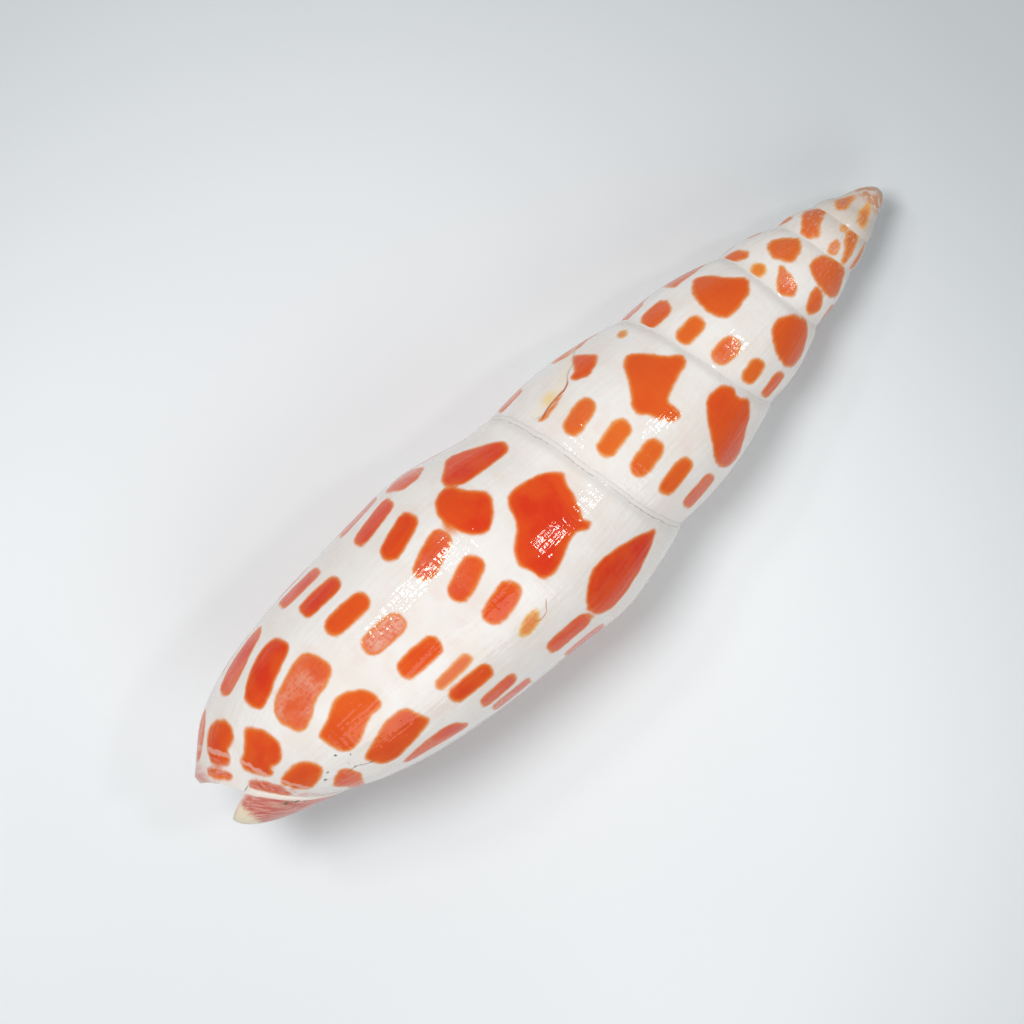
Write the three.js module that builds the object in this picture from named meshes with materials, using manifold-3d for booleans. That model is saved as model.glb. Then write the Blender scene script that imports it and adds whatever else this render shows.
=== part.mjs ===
// Episcopal miter shell (Mitra mitra), an adult shell with its right-handed coil, in millimetres.
// It is one piece that grew as one, so it is one closed mesh: the coiled outside, and a real hollow
// that runs in from the aperture under the last whorl.
// The shell lies on its aperture side, as it does on a table. X runs along it with the apex at +X,
// +Z is up and the origin is the middle of its footprint on the table.

import * as THREE from 'three';
import { mergeVertices } from 'three/addons/utils/BufferGeometryUtils.js';
import Module from 'manifold-3d';

// Every distance called along is measured from the apex, down the coiling axis. Every angle is
// about that axis and grows with the shell: 0 is the middle of the back, 90 the side of the lip.
const LIP_ANGLE = 165;
const COLUMELLA_ANGLE = LIP_ANGLE - 360;

// The front tip of the columella, which lies a little off the axis where that bends sideways.
const FRONT_TIP = 109.6;
const FRONT_TIP_SIDE = -0.55;
const BEND_START = 95;

// Where the suture crosses the left and right sides, every half turn back from this angle: its
// distance from the apex, and its radius.
const FIRST_SUTURE_ANGLE = 270;
const SUTURES = [71.5, 54.0, 45.5, 34.4, 27.2, 20.2, 16.9, 12.4, 9.4, 7.5, 5.6, 4.4, 3.3, 2.6];
const SUTURE_RADII = [14.0, 13.2, 12.7, 10.8, 9.6, 7.9, 6.7, 5.6, 4.7, 4.3, 3.5, 3.0, 2.4, 2.0];

// Each whorl swells by this share of its radius, and starts in a groove this deep and this long,
// as a share of the whorl.
const WHORL_BULGE = 0.088;
const SUTURE_STEP = 0.25;
const SUTURE_STEP_LENGTH = 0.03;

// Over this angle before it passes under the lip, the spire draws in to the narrower last whorl.
const DRAW_IN_ANGLE = 30;

// The ring that rounds off the apex, as shares of the first turn's length and radius.
const APEX_RING_ALONG = 0.3;
const APEX_RING_RADIUS = 0.58;

// The last whorl, as radii at these fractions of the way from its suture to its front edge.
const FRACTIONS = [0, 0.06, 0.14, 0.24, 0.36, 0.5, 0.64, 0.78, 0.9, 1];
const SECTIONS = [
  { angle: COLUMELLA_ANGLE, radii: [11.8, 12.5, 13.0, 12.9, 12.1, 10.2, 8.0, 6.4] },
  { angle: -90, radii: [13.6, 14.5, 15.2, 14.6, 14.0, 13.2, 11.9, 10.1] },
  { angle: 0, radii: [13.5, 14.6, 15.5, 15.4, 14.9, 14.1, 12.5, 9.5] },
  { angle: 90, radii: [13.4, 14.6, 15.8, 15.8, 15.5, 15.0, 13.8, 11.6] },
  { angle: LIP_ANGLE, radii: [14.0, 15.3, 16.4, 16.7, 16.4, 15.3, 13.5, 10.7] },
];

// The front edge: the ridge of the fasciole up to the notch, then the free edge out to the lip.
const NOTCH_ANGLE = 15;
const FRONT_EDGE = [
  { angle: COLUMELLA_ANGLE, along: 85.0, radius: 5.6 },
  { angle: -90, along: 94.7, radius: 8.0 },
  { angle: -45, along: 101.0, radius: 6.5 },
  { angle: 0, along: 104.7, radius: 5.0 },
  { angle: NOTCH_ANGLE, along: 105.4, radius: 4.9 },
  { angle: 35, along: 106.2, radius: 5.9 },
  { angle: 60, along: 108.0, radius: 6.9 },
  { angle: 90, along: 109.4, radius: 7.2 },
  { angle: 130, along: 108.0, radius: 7.0 },
  { angle: LIP_ANGLE, along: 106.2, radius: 6.2 },
];

// How the surface rounds from the front edge down to the tip: 1 is a cone, less is blunter.
const TIP_ROUNDNESS = 0.6;

// The wall around the hollow: its thickness, which thins towards the lip over an angle and towards
// the front from a share of its length.
const WALL = 1.9;
const WALL_AT_LIP = 1.2;
const WALL_AT_FRONT = 1.1;
const LIP_TAPER_ANGLE = 40;
const THIN_WALL_FROM = 0.6;

// The hollow starts just in front of the suture, and closes just behind the front edge until the
// notch, past which it runs out through the front. It is one turn long, less HOLLOW_END_GAP.
const HOLLOW_END_GAP = 9;
const REAR_CORNER = 2.2;
const FRONT_CLOSING = 1.2;
const OPEN_FRONT = 112;
const MIN_GAP = 0.4;

// Past the free edge the hollow opens out by this slope, so that nothing of the tip is left there.
const FLARE = 2;

// The hollow lies this far into the columella at the lip, lifts off it this far past the lip, and
// is never nearer to the axis than TIP_NEEDLE.
const JOIN_CLEARANCE = 0.05;
const LIFT_OFF = 0.3;
const TIP_NEEDLE = 0.12;

// The folds of the columella at the lip, which fade out past it over an angle.
const FOLDS = [
  { along: 66.5, height: 1.0 },
  { along: 71.5, height: 0.9 },
  { along: 76.2, height: 0.75 },
  { along: 80.6, height: 0.6 },
  { along: 84.6, height: 0.4 },
];
const FOLD_GAP_DEPTH = 1.0;
const LAST_GAP_SHARE = 0.7;
const FOLD_FADE_ANGLE = 36;

// How it lies on the table: turned about its axis, then tipped along it.
const REST_ROLL = -2.7;
const REST_PITCH = 7.1;

// How finely the mesh follows the shape.
const STEPS_PER_TURN = 40;
const SPIRE_TURNS = 5;
const WHORL_ROWS = [0, SUTURE_STEP_LENGTH, 0.12, 0.25, 0.4, 0.55, 0.7, 0.85, 1];
const LOWER_ROWS = 11;
const TIP_ROWS = 5;
const HOLLOW_OUTER_ROWS = 12;
const FLARE_ROWS = 2;
const COLUMELLA_FRONT_ROWS = 7;

const STEP_ANGLE = 360 / STEPS_PER_TURN;

// A smooth curve through points, with the slope at each point taken from its neighbours.
function smoothCurve(xs, ys) {
  const last = xs.length - 1;
  const slopes = xs.map((x, i) => {
    const before = Math.max(i - 1, 0);
    const after = Math.min(i + 1, last);
    return (ys[after] - ys[before]) / (xs[after] - xs[before]);
  });
  return (x) => {
    const inside = Math.min(Math.max(x, xs[0]), xs[last]);
    let i = 0;
    while (i < last - 1 && inside > xs[i + 1]) i += 1;
    const span = xs[i + 1] - xs[i];
    const t = (inside - xs[i]) / span;
    const t2 = t * t;
    const t3 = t2 * t;
    return ys[i] * (2 * t3 - 3 * t2 + 1) + slopes[i] * span * (t3 - 2 * t2 + t)
      + ys[i + 1] * (3 * t2 - 2 * t3) + slopes[i + 1] * span * (t3 - t2);
  };
}

function mix(from, to, share) {
  return from + (to - from) * share;
}

function smoothStep(from, to, x) {
  return THREE.MathUtils.smoothstep(x, from, to);
}

const sutureAngles = SUTURES.map((_, i) => FIRST_SUTURE_ANGLE - 180 * i).reverse();
const sutureLogs = SUTURES.map((along) => Math.log(along)).reverse();
const sutureLogAt = smoothCurve(sutureAngles, sutureLogs);
const sutureRadius = smoothCurve(sutureAngles, [...SUTURE_RADII].reverse());

// Distance from the apex to the upper suture of the whorl at a growth angle.
function sutureAlong(angle) {
  return Math.exp(sutureLogAt(angle));
}

// The groove at the suture, where a whorl starts a little below the one that it covers.
function sutureDip(share) {
  return SUTURE_STEP * Math.max(0, 1 - share / SUTURE_STEP_LENGTH);
}

// Radius of a freely grown spire whorl, from its upper suture (share 0) to its lower one (share 1).
function freeRadius(angle, share) {
  const upper = sutureRadius(angle);
  const lower = sutureRadius(angle + 360) - SUTURE_STEP;
  const bulge = WHORL_BULGE * (upper + lower) / 2 * Math.sin(Math.PI * share);
  return mix(upper, lower, share) + bulge - sutureDip(share);
}

const edgeAngles = FRONT_EDGE.map((point) => point.angle);
const edgeAlong = smoothCurve(edgeAngles, FRONT_EDGE.map((point) => point.along));
const edgeRadius = smoothCurve(edgeAngles, FRONT_EDGE.map((point) => point.radius));
const sectionAngles = SECTIONS.map((section) => section.angle);
const radiusCurves = SECTIONS[0].radii.map(
  (_, i) => smoothCurve(sectionAngles, SECTIONS.map((section) => section.radii[i])),
);

// Radius of the last whorl at a fraction of the way from its suture to its front edge.
function whorlProfile(angle) {
  const upper = sutureRadius(angle);
  const radii = [upper, ...radiusCurves.map((curve) => curve(angle)), edgeRadius(angle)];
  const profile = smoothCurve(FRACTIONS, radii);
  return (fraction) => profile(fraction) - sutureDip(fraction);
}

// Radius of the last whorl at a distance from the apex, past its front edge down to the tip.
function bodyProfile(angle) {
  const start = sutureAlong(angle);
  const edge = edgeAlong(angle);
  const profile = whorlProfile(angle);
  return (along) => {
    if (along <= edge) return profile((along - start) / (edge - start));
    const left = Math.max(0, (FRONT_TIP - along) / (FRONT_TIP - edge));
    return edgeRadius(angle) * left ** TIP_ROUNDNESS;
  };
}

// Radius of a spire whorl, drawn in where it meets the start of the last whorl.
function spireRadius(angle, share) {
  const drawnIn = smoothStep(COLUMELLA_ANGLE - DRAW_IN_ANGLE, COLUMELLA_ANGLE, angle);
  const start = sutureAlong(COLUMELLA_ANGLE);
  const along = mix(start, sutureAlong(LIP_ANGLE), share);
  const excess = freeRadius(COLUMELLA_ANGLE, share) - bodyProfile(COLUMELLA_ANGLE)(along);
  return freeRadius(angle, share) - drawnIn * excess;
}

// A point of the shell before it is laid down, with the axis along -X.
function place(angle, along, radius) {
  const turn = THREE.MathUtils.degToRad(angle);
  const side = FRONT_TIP_SIDE * smoothStep(BEND_START, FRONT_TIP, along);
  return new THREE.Vector3(-along, radius * Math.sin(turn) + side, radius * Math.cos(turn));
}

// Collects triangles, and turns them into a closed solid whose faces point out.
class Skin {
  constructor() {
    this.corners = [];
  }

  triangle(a, b, c) {
    this.corners.push(a, c, b);
  }

  quad(a, b, c, d) {
    this.triangle(a, b, c);
    this.triangle(a, c, d);
  }

  fan(centre, ring) {
    for (let i = 0; i + 1 < ring.length; i += 1) this.triangle(centre, ring[i], ring[i + 1]);
  }

  strip(left, right) {
    for (let i = 0; i + 1 < left.length; i += 1) {
      this.quad(left[i], left[i + 1], right[i + 1], right[i]);
    }
  }

  solid(wasm) {
    const geometry = new THREE.BufferGeometry().setFromPoints(this.corners);
    const merged = mergeVertices(geometry, 1e-4);
    const index = Array.from(merged.index.array);
    const kept = [];
    for (let i = 0; i < index.length; i += 3) {
      const [a, b, c] = index.slice(i, i + 3);
      if (a !== b && b !== c && c !== a) kept.push(a, b, c);
    }
    const mesh = new wasm.Mesh({
      numProp: 3,
      vertProperties: merged.attributes.position.array,
      triVerts: new Uint32Array(kept),
    });
    return new wasm.Manifold(mesh);
  }
}

// The outside as a filled solid. Columns follow the growth angle, and neighbouring whorls share
// the points of the suture between them.
function outsideSolid(wasm) {
  const skin = new Skin();
  const firstBody = SPIRE_TURNS * STEPS_PER_TURN;
  const lastColumn = firstBody + STEPS_PER_TURN;
  const angleOf = (column) => LIP_ANGLE - (lastColumn - column) * STEP_ANGLE;
  const bodyStart = angleOf(firstBody);
  const breakShare = (sutureAlong(LIP_ANGLE) - sutureAlong(bodyStart))
    / (edgeAlong(bodyStart) - sutureAlong(bodyStart));
  const tip = place(0, FRONT_TIP, 0);

  const columns = [];
  for (let column = 0; column <= lastColumn; column += 1) {
    const angle = angleOf(column);
    const start = sutureAlong(angle);
    const points = [];
    if (column < firstBody) {
      const length = sutureAlong(angle + 360) - start;
      WHORL_ROWS.forEach((share) => {
        points.push(place(angle, start + share * length, spireRadius(angle, share)));
      });
    } else {
      const length = edgeAlong(angle) - start;
      const profile = whorlProfile(angle);
      const fractions = WHORL_ROWS.map((share) => share * breakShare);
      fractions[1] = SUTURE_STEP_LENGTH;
      for (let row = 1; row <= LOWER_ROWS; row += 1) {
        fractions.push(mix(breakShare, 1, row / LOWER_ROWS));
      }
      fractions.forEach((fraction) => {
        points.push(place(angle, start + fraction * length, profile(fraction)));
      });
      const body = bodyProfile(angle);
      for (let row = 1; row < TIP_ROWS; row += 1) {
        const share = Math.sin(Math.PI / 2 * row / TIP_ROWS);
        const along = mix(edgeAlong(angle), FRONT_TIP, share);
        points.push(place(angle, along, body(along)));
      }
      points.push(tip);
    }
    columns.push(points);
  }

  // A whorl's last point on the spire is the first point of the whorl one turn later.
  const lastRow = WHORL_ROWS.length - 1;
  for (let column = 0; column < firstBody; column += 1) {
    columns[column][lastRow] = columns[column + STEPS_PER_TURN][0];
  }
  columns[firstBody][lastRow] = columns[lastColumn][0];

  for (let column = 0; column < lastColumn; column += 1) {
    const rows = Math.min(columns[column].length, columns[column + 1].length);
    skin.strip(columns[column].slice(0, rows), columns[column + 1].slice(0, rows));
  }

  // The blunt apex closes the first turn.
  const rim = columns.slice(0, STEPS_PER_TURN + 1).map((points) => points[0]);
  rim.push(...[...columns[0]].reverse().slice(1));
  const shrink = new THREE.Vector3(APEX_RING_ALONG, APEX_RING_RADIUS, APEX_RING_RADIUS);
  const ring = rim.map((point) => point.clone().multiply(shrink));
  skin.strip(rim, ring);
  skin.fan(place(0, 0, 0), ring);

  // The face of the aperture, from the lip across to the columella, before the hollow is cut.
  const lip = columns[lastColumn];
  const columella = columns[firstBody];
  for (let row = 0; row < lip.length - 1; row += 1) {
    const inner = Math.max(row, lastRow);
    const nextInner = Math.max(row + 1, lastRow);
    skin.quad(lip[row], lip[row + 1], columella[nextInner], columella[inner]);
  }
  return skin.solid(wasm);
}

// Rows along the columella, one on each fold and one in each gap: where they are at the lip, and
// how far they lie below the columella's own profile. The folds wind in with the whorl.
function columellaRows(rear, front) {
  const halfGap = (FOLDS[1].along - FOLDS[0].along) / 2;
  const rows = [{ along: rear, cut: 0 }, { along: FOLDS[0].along - halfGap, cut: FOLD_GAP_DEPTH / 2 }];
  FOLDS.forEach((fold, i) => {
    const next = FOLDS[i + 1];
    rows.push({ along: fold.along, cut: FOLD_GAP_DEPTH - fold.height });
    const gapAlong = next ? (fold.along + next.along) / 2 : fold.along + halfGap;
    rows.push({ along: gapAlong, cut: FOLD_GAP_DEPTH * (next ? 1 : LAST_GAP_SHARE) });
  });
  const lastGap = rows[rows.length - 1].along;
  for (let row = 1; row <= COLUMELLA_FRONT_ROWS; row += 1) {
    const share = Math.sin(Math.PI / 2 * row / COLUMELLA_FRONT_ROWS);
    rows.push({ along: mix(lastGap, front, share), cut: 0 });
  }
  return rows;
}

// The hollow as a closed solid: a tube that follows the whorl, one section for each angle.
function hollowSolid(wasm) {
  const skin = new Skin();
  const lipSuture = sutureAlong(LIP_ANGLE);
  const columellaProfile = bodyProfile(COLUMELLA_ANGLE);

  const lipRear = lipSuture + REAR_CORNER;
  const innerRows = columellaRows(lipRear, OPEN_FRONT);

  // Radius of the columella under the lip and further in, where it narrows with the whorl.
  const columellaRadius = (angle, along) => {
    const start = sutureAlong(angle);
    const share = Math.min((along - start) / (FRONT_TIP - start), 1);
    const scale = mix(sutureRadius(angle) / sutureRadius(LIP_ANGLE), 1, share);
    return columellaProfile(mix(lipSuture, FRONT_TIP, share)) * scale;
  };

  const rings = [];
  const stepsInside = Math.round((360 - HOLLOW_END_GAP) / STEP_ANGLE);
  const stepsOutside = Math.round(FOLD_FADE_ANGLE / STEP_ANGLE);
  for (let step = -stepsInside; step <= stepsOutside; step += 1) {
    const angle = LIP_ANGLE + step * STEP_ANGLE;
    const beyond = Math.max(0, step) / stepsOutside;
    const inside = Math.min(angle, LIP_ANGLE);
    const rear = sutureAlong(inside) + REAR_CORNER;
    const edge = edgeAlong(inside);
    const open = smoothStep(NOTCH_ANGLE, NOTCH_ANGLE + STEP_ANGLE, inside);
    const front = mix(edge - FRONT_CLOSING, OPEN_FRONT, open);
    const outside = bodyProfile(inside);
    const pastTurn = bodyProfile(angle - 360);
    const taper = smoothStep(LIP_ANGLE - LIP_TAPER_ANGLE, LIP_ANGLE, inside);

    const wallAt = (along) => {
      const share = (along - rear) / (edge - rear);
      return mix(mix(WALL, WALL_AT_LIP, taper), WALL_AT_FRONT, smoothStep(THIN_WALL_FROM, 1, share));
    };
    const outerAt = (along) => {
      const flare = FLARE * Math.max(0, along - edge);
      return outside(Math.min(along, edge)) - wallAt(along) + flare;
    };
    const innerAt = (along) => {
      if (step <= 0) return columellaRadius(inside, along) - JOIN_CLEARANCE;
      return pastTurn(along) + LIFT_OFF * beyond;
    };

    // Where the hollow is open, one of its rows lies on the free edge itself.
    const straightRows = HOLLOW_OUTER_ROWS - FLARE_ROWS;
    const knee = mix(mix(rear, front, straightRows / HOLLOW_OUTER_ROWS), edge, open);

    const ring = [];
    for (let row = 0; row <= HOLLOW_OUTER_ROWS; row += 1) {
      const along = row <= straightRows ? mix(rear, knee, row / straightRows)
        : mix(knee, front, (row - straightRows) / FLARE_ROWS);
      const end = row === 0 || row === HOLLOW_OUTER_ROWS;
      const inner = innerAt(along);
      const outer = Math.max(outerAt(along), inner + MIN_GAP);
      ring.push(place(angle, along, end ? mix(inner, outer, 0.5) : outer));
    }
    innerRows.slice(1, -1).reverse().forEach((row) => {
      const share = (row.along - lipRear) / (OPEN_FRONT - lipRear);
      const along = mix(rear, front, share);
      const radius = innerAt(along) - row.cut * (1 - beyond);
      ring.push(place(angle, along, Math.max(radius, TIP_NEEDLE)));
    });
    ring.push(ring[0]);
    rings.push(ring);
  }

  for (let i = 0; i + 1 < rings.length; i += 1) skin.strip(rings[i], rings[i + 1]);
  const middleOf = (ring) => ring.slice(1).reduce((sum, point) => sum.add(point), new THREE.Vector3())
    .divideScalar(ring.length - 1);
  skin.fan(middleOf(rings[0]), [...rings[0]].reverse());
  skin.fan(middleOf(rings[rings.length - 1]), rings[rings.length - 1]);
  return skin.solid(wasm);
}

function shellGeometry(wasm) {
  const solid = outsideSolid(wasm).subtract(hollowSolid(wasm));
  const { vertProperties, triVerts } = solid.getMesh();
  const geometry = new THREE.BufferGeometry();
  geometry.setAttribute('position', new THREE.BufferAttribute(vertProperties, 3));
  geometry.setIndex(new THREE.BufferAttribute(triVerts, 1));
  geometry.rotateX(THREE.MathUtils.degToRad(REST_ROLL));
  geometry.rotateY(THREE.MathUtils.degToRad(REST_PITCH));
  geometry.computeBoundingBox();
  const { min, max } = geometry.boundingBox;
  geometry.translate(-(min.x + max.x) / 2, -(min.y + max.y) / 2, -min.z);
  geometry.computeVertexNormals();
  return geometry;
}

function shell(wasm) {
  const glossyShell = new THREE.MeshStandardMaterial({ color: 0xf3ece4, roughness: 0.3, metalness: 0 });
  const mesh = new THREE.Mesh(shellGeometry(wasm), glossyShell);
  mesh.name = 'shell';
  return mesh;
}

const wasm = await Module();
wasm.setup();

const miter = new THREE.Group();
miter.add(shell(wasm));

export default miter;
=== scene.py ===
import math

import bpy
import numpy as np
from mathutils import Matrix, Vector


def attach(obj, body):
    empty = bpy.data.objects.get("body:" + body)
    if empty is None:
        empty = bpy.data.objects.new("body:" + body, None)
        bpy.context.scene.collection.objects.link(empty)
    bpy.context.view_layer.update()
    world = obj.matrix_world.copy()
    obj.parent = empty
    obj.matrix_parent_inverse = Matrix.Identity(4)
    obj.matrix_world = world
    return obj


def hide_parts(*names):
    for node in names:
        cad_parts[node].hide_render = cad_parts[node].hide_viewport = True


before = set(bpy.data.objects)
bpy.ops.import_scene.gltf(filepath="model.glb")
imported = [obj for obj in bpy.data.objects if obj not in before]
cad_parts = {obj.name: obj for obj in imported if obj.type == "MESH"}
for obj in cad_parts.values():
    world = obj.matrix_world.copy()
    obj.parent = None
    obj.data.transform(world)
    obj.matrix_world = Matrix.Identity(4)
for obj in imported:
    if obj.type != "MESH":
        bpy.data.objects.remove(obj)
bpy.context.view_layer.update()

# An episcopal miter shell on a pale table. The shell is one mesh: the coiled outside with the hollow
# cut out of it. Lengths are millimetres until the mesh is made, which is in metres, and angles are
# degrees. Every distance called along is measured from the apex, down the coiling axis. A growth
# angle is about that axis and grows with the shell: 0 is the middle of the back, 90 the lip's side.

MM = 0.001
SEED = 7

# The shape, as it is in the CAD source.
LIP_ANGLE = 165
COLUMELLA_ANGLE = LIP_ANGLE - 360
FRONT_TIP = 109.6
FRONT_TIP_SIDE = -0.55
BEND_START = 95
FIRST_SUTURE_ANGLE = 270
SUTURES = [71.5, 54.0, 45.5, 34.4, 27.2, 20.2, 16.9, 12.4, 9.4, 7.5, 5.6, 4.4, 3.3, 2.6]
SUTURE_RADII = [14.0, 13.2, 12.7, 10.8, 9.6, 7.9, 6.7, 5.6, 4.7, 4.3, 3.5, 3.0, 2.4, 2.0]
WHORL_BULGE = 0.088
SUTURE_STEP = 0.25
DRAW_IN_ANGLE = 30
APEX_RINGS = [0.62, 0.36, 0.18, 0.07, 0.02]
APEX_ROUNDNESS = 0.45
FRACTIONS = [0, 0.06, 0.14, 0.24, 0.36, 0.5, 0.64, 0.78, 0.9, 1]
SECTIONS = {
    COLUMELLA_ANGLE: [11.8, 12.5, 13.0, 12.9, 12.1, 10.2, 8.0, 6.4],
    -90: [13.6, 14.5, 15.2, 14.6, 14.0, 13.2, 11.9, 10.1],
    0: [13.5, 14.6, 15.5, 15.4, 14.9, 14.1, 12.5, 9.5],
    90: [13.4, 14.6, 15.8, 15.8, 15.5, 15.0, 13.8, 11.6],
    LIP_ANGLE: [14.0, 15.3, 16.4, 16.7, 16.4, 15.3, 13.5, 10.7],
}
NOTCH_ANGLE = 15
FRONT_EDGE = [
    (COLUMELLA_ANGLE, 85.0, 5.6), (-90, 94.7, 8.0), (-45, 101.0, 6.5), (0, 104.7, 5.0),
    (NOTCH_ANGLE, 105.4, 4.9), (35, 106.2, 5.9), (60, 108.0, 6.9), (90, 109.4, 7.2),
    (130, 108.0, 7.0), (LIP_ANGLE, 106.2, 6.2),
]
TIP_ROUNDNESS = 0.6
WALL = 1.9
WALL_AT_LIP = 1.2
WALL_AT_FRONT = 1.1
LIP_TAPER_ANGLE = 40
THIN_WALL_FROM = 0.6
HOLLOW_END_GAP = 9
REAR_CORNER = 2.2
FRONT_CLOSING = 1.2
OPEN_FRONT = 112
OPENING_ANGLE = 9
MIN_GAP = 0.4
FLARE = 2
JOIN_CLEARANCE = 0.05
LIFT_OFF = 0.3
TIP_NEEDLE = 0.12
FOLDS = [(66.5, 1.0), (71.5, 0.9), (76.2, 0.75), (80.6, 0.6), (84.6, 0.4)]
FOLD_GAP_DEPTH = 1.0
LAST_GAP_SHARE = 0.7
FOLD_FADE_ANGLE = 36
REST_ROLL = -2.7
REST_PITCH = 7.1

# The smooth surface bulges past the flat faces of the CAD solid, so it is drawn in a little to stay
# inside that solid's box: towards the axis, and along it.
FIT = 0.9925
FIT_ALONG = 0.9996

# The mesh: its columns follow the growth angle, and its rows run along the shell.
STEPS_PER_TURN = 216
SPIRE_TURNS = 5
WHORL_ROWS = 36
LOWER_ROWS = 72
TIP_ROWS = 12
ROW_CROWDING = 1.3
HOLLOW_STEPS_PER_TURN = 144
HOLLOW_OUTER_ROWS = 34
FLARE_ROWS = 4
COLUMELLA_ROWS = 52
COLUMELLA_FRONT_ROWS = 16
# The last columns crowd up to the lip, by these shares of a step.
LIP_COLUMNS = [0.1, 0.25, 0.5]
HOLLOW_LIP_COLUMNS = [-0.05, -0.12, -0.22]
# Edges that bend more than this stay sharp when the rest is shaded smooth.
SHARP_ANGLE = 50

# The camera and the picture that it takes. The apex lies at APEX_PIXEL, and spots and lines are
# measured in pixels from there: down the length of the shell, then across it.
PICTURE = 1024
MM_PER_PIXEL = 0.1214
APEX_PIXEL = (880, 190)
LENGTH_STEP = (-0.7369, 0.6760)
ACROSS_STEP = (0.6760, 0.7369)
AXIS_TILT = 44.02
CAMERA_DISTANCE = 475
LOOK_ALONG = 59.3
LOOK_SIDE = 2.94
# The surface under a pixel is found in this many rounds, each going this share of the way.
SEARCH_ROUNDS = 12
SEARCH_SHARE = 0.7


def hermite(knots, values, x):
    """A smooth curve through points, with one column of values for each x, or one for all."""
    knots = np.asarray(knots, float)
    values = np.asarray(values, float)
    if values.ndim == 1:
        values = np.repeat(values[:, None], len(x), axis=1)
    last = len(knots) - 1
    here = np.arange(last + 1)
    before = np.maximum(here - 1, 0)
    after = np.minimum(here + 1, last)
    slopes = (values[after] - values[before]) / (knots[after] - knots[before])[:, None]
    inside = np.clip(x, knots[0], knots[last])
    i = np.clip(np.searchsorted(knots, inside, side="left") - 1, 0, last - 1)
    n = np.arange(len(x))
    span = knots[i + 1] - knots[i]
    t = (inside - knots[i]) / span
    t2 = t * t
    t3 = t2 * t
    return (values[i, n] * (2 * t3 - 3 * t2 + 1) + slopes[i, n] * span * (t3 - 2 * t2 + t)
            + values[i + 1, n] * (3 * t2 - 2 * t3) + slopes[i + 1, n] * span * (t3 - t2))


def mix(start, end, share):
    return start + (end - start) * share


def smooth_step(start, end, x):
    t = np.clip((np.asarray(x, float) - start) / (end - start), 0, 1)
    return t * t * (3 - 2 * t)


def at(function, *values):
    """One value of a function that takes arrays."""
    return function(*(np.array([float(value)]) for value in values))[0]


def hump(x, width):
    """1 at x = 0, falling smoothly to nearly 0 at twice the width."""
    return np.exp(-(np.asarray(x, float) / width) ** 2)


# The suture wavers along the shell, in waves with a size, a frequency and a phase, and lies in a
# groove this wide.
SUTURE_WAVE = 0.16
SUTURE_WAVES = [(0.5, 9.3, 1.0), (0.3, 21.7, 0.0), (0.3, 38.1, 2.0)]
SUTURE_GROOVE_WIDTH = 0.5
GROOVE_DEEPENS = (0, 26)

suture_angles = [FIRST_SUTURE_ANGLE - 180 * i for i in range(len(SUTURES))][::-1]


def suture_along(angle):
    """Distance from the apex to the upper suture of the whorl at a growth angle."""
    smooth = np.exp(hermite(suture_angles, np.log(SUTURES[::-1]), angle))
    turn = np.radians(angle)
    wave = sum(size * np.sin(often * turn + phase) for size, often, phase in SUTURE_WAVES)
    fade = smooth_step(LIP_ANGLE, LIP_ANGLE - DRAW_IN_ANGLE, angle)
    return smooth + SUTURE_WAVE * wave * fade * smooth / SUTURES[0]


def suture_radius(angle):
    return hermite(suture_angles, SUTURE_RADII[::-1], angle)


def suture_step(angle):
    """Depth of the groove at the upper suture of a whorl, which is shallow on the first whorls."""
    return SUTURE_STEP * smooth_step(*GROOVE_DEEPENS, suture_along(angle))


def suture_dip(angle, along):
    """The groove at the upper suture of a whorl."""
    return suture_step(angle) * hump(along - suture_along(angle), SUTURE_GROOVE_WIDTH)


def whorl_share(angle, along):
    """How far down a spire whorl a point lies, from its upper suture to its lower one."""
    start = suture_along(angle)
    return np.clip((along - start) / (suture_along(angle + 360) - start), 0, 1)


def free_radius(angle, along):
    """Radius of a freely grown spire whorl."""
    share = whorl_share(angle, along)
    upper = suture_radius(angle)
    lower = suture_radius(angle + 360) - suture_step(angle + 360)
    bulge = WHORL_BULGE * (upper + lower) / 2 * np.sin(math.pi * share)
    return mix(upper, lower, share) + bulge - suture_dip(angle, along)


edge_angles = [point[0] for point in FRONT_EDGE]


def edge_along(angle):
    return hermite(edge_angles, [point[1] for point in FRONT_EDGE], angle)


def edge_radius(angle):
    return hermite(edge_angles, [point[2] for point in FRONT_EDGE], angle)


def body_radius(angle, along):
    """Radius of the last whorl, past its front edge down to the tip."""
    start = suture_along(angle)
    edge = edge_along(angle)
    middle = [hermite(list(SECTIONS), column, angle) for column in zip(*SECTIONS.values())]
    radii = np.stack([suture_radius(angle), *middle, edge_radius(angle)])
    whorl = hermite(FRACTIONS, radii, (along - start) / (edge - start)) - suture_dip(angle, along)
    left = np.clip((FRONT_TIP - along) / (FRONT_TIP - edge), 0, None)
    return np.where(along <= edge, whorl, edge_radius(angle) * left ** TIP_ROUNDNESS)


def spire_radius(angle, along):
    """Radius of a spire whorl, drawn in where it meets the start of the last whorl."""
    drawn_in = smooth_step(COLUMELLA_ANGLE - DRAW_IN_ANGLE, COLUMELLA_ANGLE, angle)
    seam = np.full(len(along), float(COLUMELLA_ANGLE))
    at_seam = mix(suture_along(seam), suture_along(seam + 360), whorl_share(angle, along))
    excess = free_radius(seam, at_seam) - body_radius(seam, at_seam)
    return free_radius(angle, along) - drawn_in * excess


def on_body(angle):
    return angle > COLUMELLA_ANGLE


def outside_radius(angle, along):
    return np.where(on_body(angle), body_radius(angle, along), spire_radius(angle, along))


def growth_angle(theta, along):
    """The growth angle of the outermost whorl at an angle about the axis."""
    angle = LIP_ANGLE - np.mod(LIP_ANGLE - theta, 360)
    for _ in range(SPIRE_TURNS):
        angle = np.where(along < suture_along(angle), angle - 360, angle)
    return angle


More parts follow.
